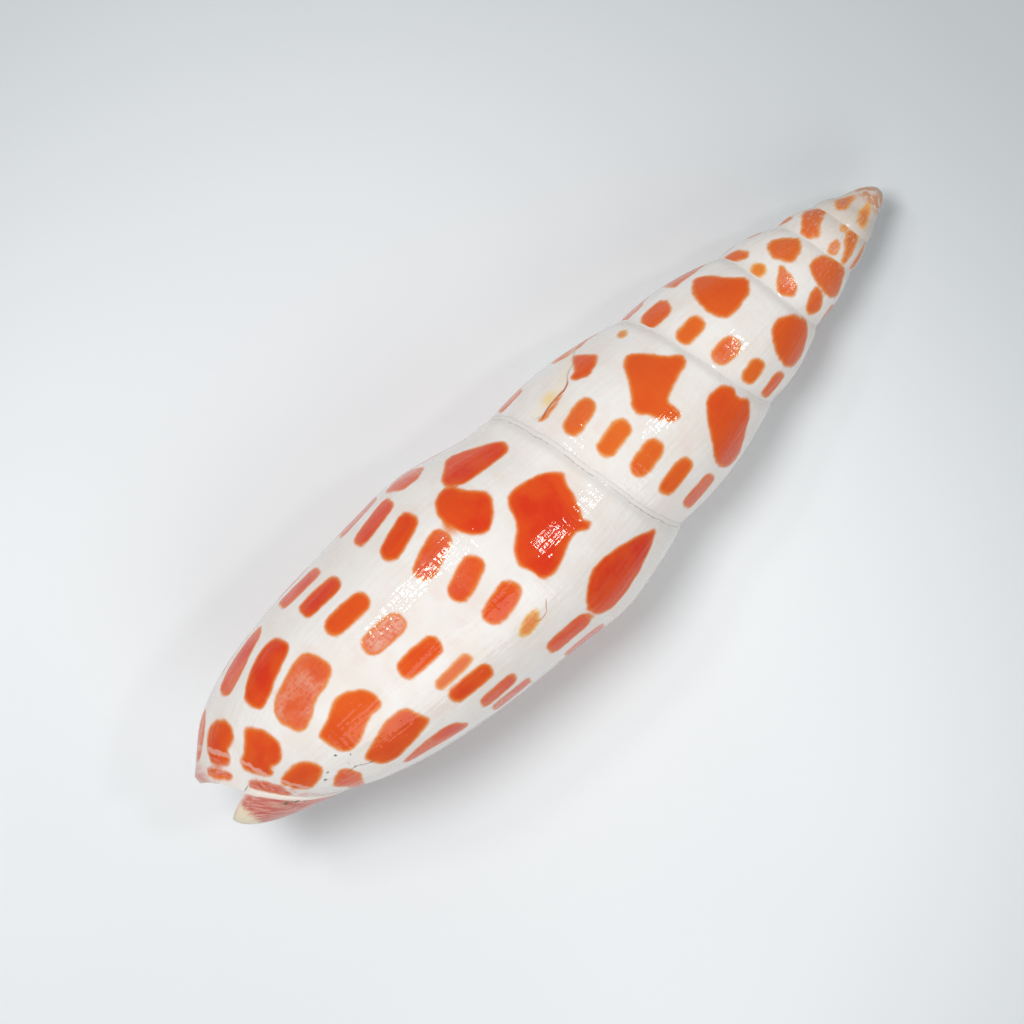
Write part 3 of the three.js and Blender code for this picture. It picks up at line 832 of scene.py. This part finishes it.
def paint(mesh):
    """Stores on each vertex what the material needs to know about its place on the shell."""
    points = np.empty(len(mesh.vertices) * 3, np.float32)
    mesh.vertices.foreach_get("co", points)
    points = points.reshape(-1, 3).astype(float)
    along = -points[:, 0] / FIT_ALONG
    side = points[:, 1] - axis_side(along)
    radius = np.hypot(side, points[:, 2]) / FIT
    # The points on a suture itself all count with the whorl below it.
    angle = growth_angle(np.degrees(np.arctan2(side, points[:, 2])), along + PAST_SUTURE)
    outer = outside_radius(angle, along)

    spot = np.full(len(along), -SPOT_REACH)
    worn = np.zeros(len(along))
    yellow = np.zeros(len(along))
    rng = np.random.default_rng(SEED)
    for angles, alongs, spot_worn, spot_yellow in seen_spots() + hidden_spots(rng):
        scale = math.radians(1) * max(at(outside_radius, angles.mean(), alongs.mean()), 0.5)
        near = ((angle > angles.min() - SPOT_REACH / scale) & (angle < angles.max() + SPOT_REACH / scale)
                & (along > alongs.min() - SPOT_REACH) & (along < alongs.max() + SPOT_REACH))
        corners = np.stack([angles * scale, alongs], axis=1)
        distance = outline_distance(angle[near] * scale, along[near], corners)
        closer = distance > spot[near]
        index = np.flatnonzero(near)[closer]
        spot[index] = distance[closer]
        worn[index] = spot_worn
        yellow[index] = spot_yellow

    scar_angles, scar_alongs = surface_at(SCAR)
    scale = math.radians(1) * at(outside_radius, scar_angles.mean(), scar_alongs.mean())
    scar_points = np.stack([scar_angles * scale, scar_alongs], axis=1)
    scar, by_scar = line_distance(angle * scale, along, scar_points)

    start = suture_along(angle)
    following = np.where(on_body(angle), along + SUTURE_REACH, suture_along(angle + 360))
    past_suture = np.minimum(along - start, following - along)
    values = {
        "spot": np.clip(spot, -SPOT_REACH, SPOT_REACH),
        "worn": worn,
        "yellow": yellow,
        "suture": np.clip(past_suture, 0, SUTURE_REACH),
        "inside": smooth_step(*HOLLOW_DEPTHS, outer - radius) * (along > SUTURES[-1] + 1),
        "front": np.clip(front_distance(angle, along, radius), -FRONT_REACH, FRONT_REACH),
        "fasciole": smooth_step(*FASCIOLE_COLOUR_ENDS, angle) * on_body(angle),
        "arc": np.radians(angle) * ARC_RADIUS,
        "along": along,
        "scar": np.clip(scar, -SCAR_REACH, SCAR_REACH),
        "by_scar": by_scar,
    }
    for name, value in values.items():
        attribute = mesh.attributes.new(name, "FLOAT", "POINT")
        attribute.data.foreach_set("value", np.asarray(value, np.float32))


paint(mesh)

# It is laid down as it rests, with the middle of its footprint at the origin. The apex is the
# vertex of the CAD node furthest along X.
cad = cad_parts["shell"].data.vertices
apex = max((vertex.co for vertex in cad), key=lambda co: co.x)
turned = Matrix.Rotation(math.radians(REST_PITCH), 4, "Y") @ Matrix.Rotation(math.radians(REST_ROLL), 4, "X")
lay_down = Matrix.Translation(apex) @ turned @ Matrix.Scale(MM, 4)
mesh.transform(lay_down)
mesh.set_sharp_from_angle(angle=math.radians(SHARP_ANGLE))
mesh.polygons.foreach_set("use_smooth", [True] * len(mesh.polygons))
mesh.update()
shell = new_object("shell_visual", mesh)


def linear(red, green, blue):
    """A screen colour, 0 to 255, as the linear colour that nodes use."""
    shares = [c / 255 for c in (red, green, blue)]
    return [s / 12.92 if s <= 0.04045 else ((s + 0.055) / 1.055) ** 2.4 for s in shares] + [1]


class Graph:
    """Builds a material's nodes."""

    def __init__(self, name):
        self.material = bpy.data.materials.new(name)
        self.material.use_nodes = True
        self.nodes = self.material.node_tree.nodes
        self.links = self.material.node_tree.links
        self.nodes.clear()

    def node(self, kind, inputs=None, **settings):
        made = self.nodes.new("ShaderNode" + kind)
        for key, value in settings.items():
            setattr(made, key, value)
        for key, value in (inputs or {}).items():
            if isinstance(value, bpy.types.NodeSocket):
                self.links.new(value, made.inputs[key])
            else:
                made.inputs[key].default_value = value
        return made

    def attribute(self, name):
        return self.node("Attribute", attribute_name=name).outputs["Fac"]

    def math(self, operation, *values, clamp=False):
        return self.node("Math", dict(enumerate(values)), operation=operation, use_clamp=clamp).outputs[0]

    def plus(self, first, *others, clamp=False):
        for value in others:
            first = self.math("ADD", first, value, clamp=clamp)
        return first

    def minus(self, first, second):
        return self.math("SUBTRACT", first, second)

    def times(self, first, *others, clamp=False):
        for value in others:
            first = self.math("MULTIPLY", first, value, clamp=clamp)
        return first

    def step(self, value, start, end, low=0.0, high=1.0):
        inputs = {"Value": value, "From Min": start, "From Max": end, "To Min": low, "To Max": high}
        return self.node("MapRange", inputs, interpolation_type="SMOOTHSTEP").outputs["Result"]

    def blend(self, share, first, second):
        made = self.node("Mix", data_type="RGBA")
        for socket, value in (("Factor_Float", share), ("A_Color", first), ("B_Color", second)):
            target = next(s for s in made.inputs if s.identifier == socket)
            if isinstance(value, bpy.types.NodeSocket):
                self.links.new(value, target)
            else:
                target.default_value = value
        return next(s for s in made.outputs if s.identifier == "Result_Color")

    def vector(self, x, y, z):
        return self.node("CombineXYZ", {"X": x, "Y": y, "Z": z}).outputs[0]

    def noise(self, vector, scale, detail=2.0, roughness=0.5):
        inputs = {"Vector": vector, "Scale": scale, "Detail": detail, "Roughness": roughness}
        return self.node("TexNoise", inputs).outputs["Fac"]

    def wander(self, vector, scale, reach):
        """The vector, moved about by noise."""
        noise = self.node("TexNoise", {"Vector": vector, "Scale": scale, "Detail": 3.0}).outputs["Color"]
        centred = self.node("VectorMath", {0: noise, 1: (0.5, 0.5, 0.5)}, operation="SUBTRACT").outputs[0]
        scaled = self.node("VectorMath", {0: centred, "Scale": reach}, operation="SCALE").outputs[0]
        return self.node("VectorMath", {0: vector, 1: scaled}, operation="ADD").outputs[0]

    def band(self, value, middle, half):
        """1 where the value is at the middle, fading to 0 at half the width to either side."""
        away = self.math("ABSOLUTE", self.minus(value, middle))
        return self.step(away, half, 0.4 * half)

    def dot(self, vector, direction, offset):
        """How far the vector reaches in a direction, plus an offset."""
        product = self.node("VectorMath", {0: vector, 1: (*direction, 0.0)}, operation="DOT_PRODUCT")
        return self.plus(product.outputs["Value"], offset)

    def near(self, vector, pixel, far, close):
        """1 close to a place that the picture shows, and 0 when far from it, in millimetres."""
        angles, alongs = surface_at([pixel])
        centre = (math.radians(angles[0]) * ARC_RADIUS, alongs[0], 0.0)
        away = self.node("VectorMath", {0: vector, 1: centre}, operation="DISTANCE").outputs["Value"]
        return self.step(away, far, close)

    def line(self, vector, start, end, half):
        """1 on a short straight line, fading to 0 at half its width to either side."""
        (x0, y0), (x1, y1) = start, end
        dx, dy = x1 - x0, y1 - y0
        length = math.hypot(dx, dy)
        across = self.dot(vector, (-dy / length, dx / length), (dy * x0 - dx * y0) / length)
        share = self.dot(vector, (dx / length ** 2, dy / length ** 2), -(dx * x0 + dy * y0) / length ** 2)
        from_middle = self.math("ABSOLUTE", self.minus(share, 0.5))
        return self.times(self.band(across, 0.0, half), self.step(from_middle, 0.6, 0.5))

    def finished(self, inputs):
        """The material, with one shader that has these inputs."""
        output = self.node("OutputMaterial")
        self.links.new(self.node("BsdfPrincipled", inputs).outputs[0], output.inputs["Surface"])
        return self.material


# Colours of the shell.
WHITE = linear(246, 241, 236)
CREAM = linear(242, 233, 224)
ROSY = linear(243, 221, 211)
SUTURE_GREY_AND_SHADE = linear(214, 208, 202)
WORN_GREY = linear(212, 198, 184)
ORANGE = linear(233, 80, 19)
RED = linear(225, 55, 14)
SPIRE_ORANGE = linear(234, 96, 26)
EARLY_BROWN = linear(198, 108, 56)
YELLOW = linear(237, 140, 50)
RIM_ORANGE = linear(234, 128, 48)
RIM_YELLOW = linear(240, 190, 110)
WORN_PINK = linear(238, 172, 146)
FLECK = linear(226, 206, 186)
PIT = linear(160, 116, 84)
FRONT_PINK = linear(222, 134, 120)
STREAK_PINK = linear(238, 186, 172)
SPOT_PINK = linear(216, 92, 72)
PALE_LINE = linear(240, 190, 172)
DEEP_PINK = linear(206, 98, 86)
LIGHT_PINK = linear(236, 186, 170)
STREAK_BROWN = linear(158, 128, 108)
RIDGE_CREAM = linear(247, 234, 222)
TIP_CREAM = linear(248, 232, 202)
CORNER_PINK = linear(222, 140, 126)
APEX_ORANGE = linear(208, 128, 66)
APEX_BEIGE = linear(196, 184, 164)
RUST = linear(204, 84, 34)
BREAK_SHADE = linear(190, 172, 160)
BREAK_CREAM = linear(250, 234, 204)
BREAK_YELLOW = linear(248, 216, 146)
DIRT = linear(116, 108, 96)
SPECK = linear(84, 112, 82)
HOLLOW_CREAM = linear(248, 226, 196)
BUMP_DEPTH = 0.08 * MM
BREAK_TURNS_RUSTY = (43.3, 44.0)


class Place:
    """What the shell's material knows about a place on it, and coordinates for its noise."""

    def __init__(self, g):
        for name in ("spot", "worn", "yellow", "suture", "inside", "front", "fasciole", "arc", "along",
                     "scar", "by_scar"):
            setattr(self, name, g.attribute(name))
        self.surface = g.vector(self.arc, self.along, 0.0)
        self.lengthwise = g.vector(self.arc, g.times(self.along, 0.12), 0.0)
        self.spiral = g.vector(g.times(self.arc, 0.12), self.along, 0.0)
        self.wandering = g.wander(self.surface, 1.7, 0.7)
        self.early = g.step(self.along, 13.0, 3.5)
        self.waver = g.times(g.minus(g.noise(self.surface, 0.8, 1.5), 0.5), 0.4)


def ground_colour(g, p):
    """Glossy white with cream and rosy clouds, greyer on the first whorls, and greyer by the sutures, partly
    the grey of the thin margin and partly painted shade of the groove.
    """
    ground = g.blend(g.step(g.noise(p.surface, 0.18, 3.0), 0.35, 0.7), WHITE, CREAM)
    rosy = g.step(g.noise(p.surface, 0.3, 2.0), 0.5, 0.75, 0.0, 0.4)
    ground = g.blend(rosy, ground, ROSY)
    # Greyer near a suture: partly the margin's own grey, partly painted shade in the groove.
    ground = g.blend(g.step(p.suture, 1.8, 0.0, 0.0, 0.25), ground, SUTURE_GREY_AND_SHADE)
    return g.blend(g.times(p.early, 0.75), ground, WORN_GREY)


def spot_colour(g, p, edge):
    """Red in the middle, more orange on the spire, browner on the first whorls, and worn pale."""
    deep = g.step(edge, 0.4, 1.8, -0.3, 0.2)
    redness = g.plus(g.step(g.noise(p.surface, 0.22, 3.0), 0.34, 0.66), deep, clamp=True)
    orange = g.blend(redness, ORANGE, RED)
    orange = g.blend(g.step(p.along, 52.0, 38.0, 0.0, 0.55), orange, SPIRE_ORANGE)
    orange = g.blend(g.times(p.early, 0.65), orange, EARLY_BROWN)
    orange = g.blend(p.yellow, orange, YELLOW)
    fibres = g.times(g.noise(p.lengthwise, 3.2, 3.0), 0.6)
    speckle = g.plus(fibres, g.times(g.noise(p.surface, 2.2, 2.0), 0.6))
    patchy = g.step(g.noise(p.surface, 0.2, 2.0), 0.38, 0.6, 0.25, 1.4)
    pale = g.times(p.worn, g.step(speckle, 0.4, 0.75, 0.25, 1.0))
    return g.blend(g.times(pale, patchy, clamp=True), orange, WORN_PINK)


def spotted_colour(g, p):
    """The ground and its spots, and where the spots are."""
    edge = g.plus(p.spot, p.waver)
    on_spot = g.step(edge, -0.38, 0.1)
    rim_width = g.times(g.noise(p.surface, 0.5, 2.0), 0.3)
    core = g.step(g.minus(edge, rim_width), -0.24, 0.3)
    rim = g.blend(p.yellow, RIM_ORANGE, RIM_YELLOW)
    painted = g.blend(core, rim, spot_colour(g, p, edge))
    return g.blend(on_spot, ground_colour(g, p), painted), on_spot


def wear_of_spire(g, p, colour):
    """Adds the pale flecks and the pits of the worn first whorls, and says where the pits are."""
    flecks = g.noise(g.vector(g.times(p.arc, 0.45), g.times(p.along, 0.5), 0.0), 3.0, 3.0, 0.6)
    on_spire = g.step(p.along, 16.0, 5.0)
    flecked = g.times(g.step(flecks, 0.52, 0.68), on_spire)
    colour = g.blend(g.times(flecked, 0.55), colour, FLECK)
    pits = g.times(g.step(flecks, 0.38, 0.3), on_spire)
    return g.blend(g.times(pits, 0.35), colour, PIT), pits


def front_streaks(g, p, colour, on_spot):
    """Breaks the spots up into pink streaks near the front edge, with a pale line across them."""
    along_edge = g.vector(g.times(p.arc, 0.25), p.front, 0.0)
    near_front = g.band(p.front, -1.3, 1.0)
    streaky = g.times(g.step(g.noise(along_edge, 3.0, 4.0), 0.42, 0.6), near_front)
    rosy = g.times(near_front, p.fasciole, g.step(streaky, 0.0, 1.0, 0.1, 0.5))
    colour = g.blend(rosy, colour, FRONT_PINK)
    colour = g.blend(g.times(streaky, on_spot, 0.75), colour, STREAK_PINK)
    colour = g.blend(g.times(near_front, on_spot, 0.45), colour, SPOT_PINK)
    pale_line = g.band(g.plus(p.front, g.times(p.waver, 1.5)), -2.75, 0.34)
    return g.blend(g.times(pale_line, on_spot, 0.6), colour, PALE_LINE)


def fasciole_and_corner(g, p, colour):
    """Adds the pink fasciole, its cream ridge and tip, and the pink corner of the lip."""
    streaks = g.noise(g.vector(g.times(p.arc, 0.14), p.front, 0.0), 1.7, 4.0, 0.6)
    pink = g.blend(g.step(streaks, 0.34, 0.74), DEEP_PINK, LIGHT_PINK)
    browned = g.step(g.noise(p.surface, 0.35, 3.0), 0.46, 0.62, 0.0, 0.4)
    pink = g.blend(g.times(browned, g.step(p.along, 106.0, 102.0)), pink, STREAK_BROWN)
    colour = g.blend(g.times(p.fasciole, g.step(p.front, 0.3, 0.7)), colour, pink)
    ridge = g.times(p.fasciole, g.band(p.front, 0.0, 0.55))
    colour = g.blend(g.times(ridge, 0.85), colour, RIDGE_CREAM)
    tip = g.step(g.plus(p.along, g.times(p.waver, 3.0)), 106.8, 107.9)
    colour = g.blend(g.times(tip, p.fasciole), colour, TIP_CREAM)
    corner = g.times(g.step(p.along, 106.8, 109.0), g.step(p.arc, 9.0, 14.0))
    return g.blend(g.times(corner, g.step(streaks, 0.3, 0.6, 0.4, 0.9)), colour, CORNER_PINK)


def worn_apex(g, p, colour):
    """Mottles the apex with orange and wears its end to beige."""
    mottles = g.noise(g.vector(g.times(p.arc, 0.12), p.along, 0.0), 1.3, 3.0)
    mottled = g.times(g.step(mottles, 0.4, 0.52), g.step(p.along, 3.0, 1.8))
    colour = g.blend(g.times(mottled, 0.75), colour, APEX_ORANGE)
    return g.blend(g.step(p.along, 1.2, 0.2, 0.0, 0.6), colour, APEX_BEIGE)


def mended_break(g, p, colour):
    """Adds the break's rust, shade and cream, and says where its lower side is."""
    rusty = g.step(p.along, *BREAK_TURNS_RUSTY)
    shaded = g.step(p.along, *BREAK_TURNS_RUSTY[::-1])
    rust = g.times(g.band(p.scar, -0.06, 0.22), p.by_scar, rusty)
    colour = g.blend(g.times(rust, 0.8), colour, RUST)
    shade = g.times(g.band(p.scar, 0.1, 0.24), p.by_scar, shaded)
    colour = g.blend(g.times(shade, 0.4), colour, BREAK_SHADE)
    stepped = g.times(g.step(p.scar, -0.04, 0.06), p.by_scar)
    lowered = g.times(stepped, g.step(p.scar, 2.4, 0.2))
    colour = g.blend(g.times(lowered, 0.4), colour, BREAK_CREAM)
    cloud = g.times(stepped, g.near(p.surface, SCAR_CLOUD, 1.7, 0.2))
    return g.blend(g.times(cloud, 0.8), colour, BREAK_YELLOW), lowered


def dirt_in_sutures(g, p, colour):
    """Adds a broken line of dirt in the sutures, and says where it is."""
    in_suture = g.times(g.step(p.suture, 0.12, 0.02), g.step(g.noise(p.surface, 1.6, 3.0), 0.4, 0.6))
    gathered = g.step(g.noise(p.surface, 0.16, 2.0), 0.4, 0.58, 0.3, 1.0)
    thick = g.times(g.step(p.along, 9.0, 16.0), g.step(p.along, 34.0, 48.0, 0.45, 0.9))
    dirt = g.times(gathered, thick, in_suture)
    return g.blend(g.times(dirt, 0.8), colour, DIRT), dirt


def cracks_and_specks(g, p, colour):
    """Adds the hairline cracks and the specks of dirt."""
    for tint, bends in CRACKS:
        angles, alongs = surface_at(bends)
        points = list(zip(np.radians(angles) * ARC_RADIUS, alongs))
        for start, end in zip(points, points[1:]):
            crack = g.line(p.wandering, start, end, 0.1)
            colour = g.blend(g.times(crack, 0.65), colour, linear(*tint))
    specks = 0.0
    for down, across, size in SPECKS:
        specks = g.math("MAXIMUM", specks, g.near(p.wandering, (down, across), size, 0.6 * size))
    return g.blend(g.times(specks, 0.85), colour, SPECK)


def fine_relief(g, p, pits, lowered):
    """Growth lines and fine threads, which break up the glare, the pits and the mended break."""
    height = g.plus(g.noise(p.lengthwise, 1.7, 1.0, 0.4), g.times(g.noise(p.spiral, 1.5, 1.0, 0.4), 0.5),
                    g.times(g.noise(p.surface, 1.8, 1.0), 0.4))
    height = g.minus(g.minus(height, g.times(pits, 0.5)), g.times(lowered, 1.5))
    # The pattern is cut at the sutures, so there is no relief right beside them.
    strength = g.step(p.suture, 0.3, 0.8)
    return g.node("Bump", {"Height": height, "Strength": strength, "Distance": BUMP_DEPTH}).outputs[0]


def roughness(g, p, dirt):
    """Glossy, but duller on dirt and on the first whorls."""
    rough = g.step(g.noise(p.surface, 0.5, 3.0), 0.3, 0.75, 0.05, 0.12)
    return g.plus(rough, g.times(dirt, 0.4), g.times(p.early, 0.12))


def shell_material():
    g = Graph("glossy_shell")
    p = Place(g)
    colour, on_spot = spotted_colour(g, p)
    colour, pits = wear_of_spire(g, p, colour)
    colour = front_streaks(g, p, colour, on_spot)
    colour = fasciole_and_corner(g, p, colour)
    colour = worn_apex(g, p, colour)
    colour, lowered = mended_break(g, p, colour)
    colour, dirt = dirt_in_sutures(g, p, colour)
    colour = cracks_and_specks(g, p, colour)
    colour = g.blend(p.inside, colour, HOLLOW_CREAM)
    return g.finished({"Base Color": colour, "Roughness": roughness(g, p, dirt), "IOR": 1.5,
                       "Normal": fine_relief(g, p, pits, lowered)})


mesh.materials.clear()
mesh.materials.append(shell_material())
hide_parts("shell")
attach(shell, "root")

# The camera looks straight down on the middle of the back. Directions here are the picture's: to
# its right, up it, and out of it towards the camera.
tilt = math.radians(AXIS_TILT)
right = turned.to_3x3() @ Vector((math.cos(tilt), -math.sin(tilt), 0))
up = turned.to_3x3() @ Vector((math.sin(tilt), math.cos(tilt), 0))
out = right.cross(up)
look_at = lay_down @ Vector((-LOOK_ALONG, LOOK_SIDE, 0))

# The pale table, in metres. Its colour holds a painted pool of light, lightest this far to the left and down
# from the picture's middle, and a painted falloff of that light greys it between these distances from there.
TABLE_SIZE = 3
PAINTED_LIGHT_LEFT = 0.019
PAINTED_LIGHT_DOWN = 0.04
TABLE_WHITE = linear(243, 246, 247)
TABLE_OFF_WHITE = linear(238, 241, 243)
TABLE_PAINTED_FALLOFF_GREY = linear(190, 195, 197)
PAINTED_FALLOFF_RANGE = (0.05, 0.14)
# The middle of the table's painted pool of light.
painted_light_middle = look_at - right * PAINTED_LIGHT_LEFT - up * PAINTED_LIGHT_DOWN


def table_material():
    """Pale and slightly cloudy, with painted light: greyer away from the painted pool's middle."""
    g = Graph("pale_table")
    surface = g.node("TexCoord").outputs["Object"]
    tone = g.blend(g.step(g.noise(surface, 9.0, 3.0), 0.3, 0.7), TABLE_OFF_WHITE, TABLE_WHITE)
    away = g.node("VectorMath", {0: surface, 1: (painted_light_middle.x, painted_light_middle.y, 0)}, operation="DISTANCE")
    # Painted light: the colour greys away from the pool's middle, standing in for the lamps' falloff.
    tone = g.blend(g.step(away.outputs["Value"], *PAINTED_FALLOFF_RANGE), tone, TABLE_PAINTED_FALLOFF_GREY)
    return g.finished({"Base Color": tone, "Roughness": 0.55})


bpy.ops.mesh.primitive_plane_add(size=TABLE_SIZE)
floor = bpy.context.object
floor.name = "table"
floor.data.materials.append(table_material())

SENSOR = 36
camera_data = bpy.data.cameras.new("camera")
camera_data.sensor_width = SENSOR
camera_data.lens = SENSOR * CAMERA_DISTANCE / (PICTURE * MM_PER_PIXEL)
camera_data.clip_start = 0.01
camera = new_object("camera", camera_data)
axes = Matrix((right, up, out)).transposed().to_4x4()
camera.matrix_world = Matrix.Translation(look_at + out * CAMERA_DISTANCE * MM) @ axes
bpy.context.scene.camera = camera


def lamp(name, to_right, upward, outward, distance, size, power):
    """A round lamp that faces the middle of the picture."""
    data = bpy.data.lights.new(name, "AREA")
    data.shape = "DISK"
    data.size = size
    data.energy = power
    direction = (right * to_right + up * upward + out * outward).normalized()
    made = new_object(name, data)
    made.location = look_at + direction * distance
    made.rotation_euler = direction.to_track_quat("Z", "Y").to_euler()
    return made


# Each lamp: its direction from the shell, to the picture's right, up it and out of it, its distance
# and size in metres and its power in watts. The key is broad and even, as light through a tent is,
# and leaves no glare of its own.
lamp("key", -0.28, 0.12, 1.0, 0.5, 0.17, 1.26).visible_glossy = False
lamp("window", 0.3, -0.85, 0.75, 0.5, 0.4, 0.55)
lamp("right", 0.45, 0.06, 0.89, 0.6, 0.065, 0.25)
lamp("left", -0.46, 0.28, 0.84, 0.6, 0.065, 0.25)

# The light from all round.
AMBIENT = linear(238, 241, 244)
AMBIENT_STRENGTH = 0.33
world = bpy.data.worlds.new("studio")
world.use_nodes = True
background = world.node_tree.nodes["Background"]
background.inputs["Color"].default_value = AMBIENT
background.inputs["Strength"].default_value = AMBIENT_STRENGTH
bpy.context.scene.world = world
bpy.context.scene.view_settings.view_transform = "Standard"
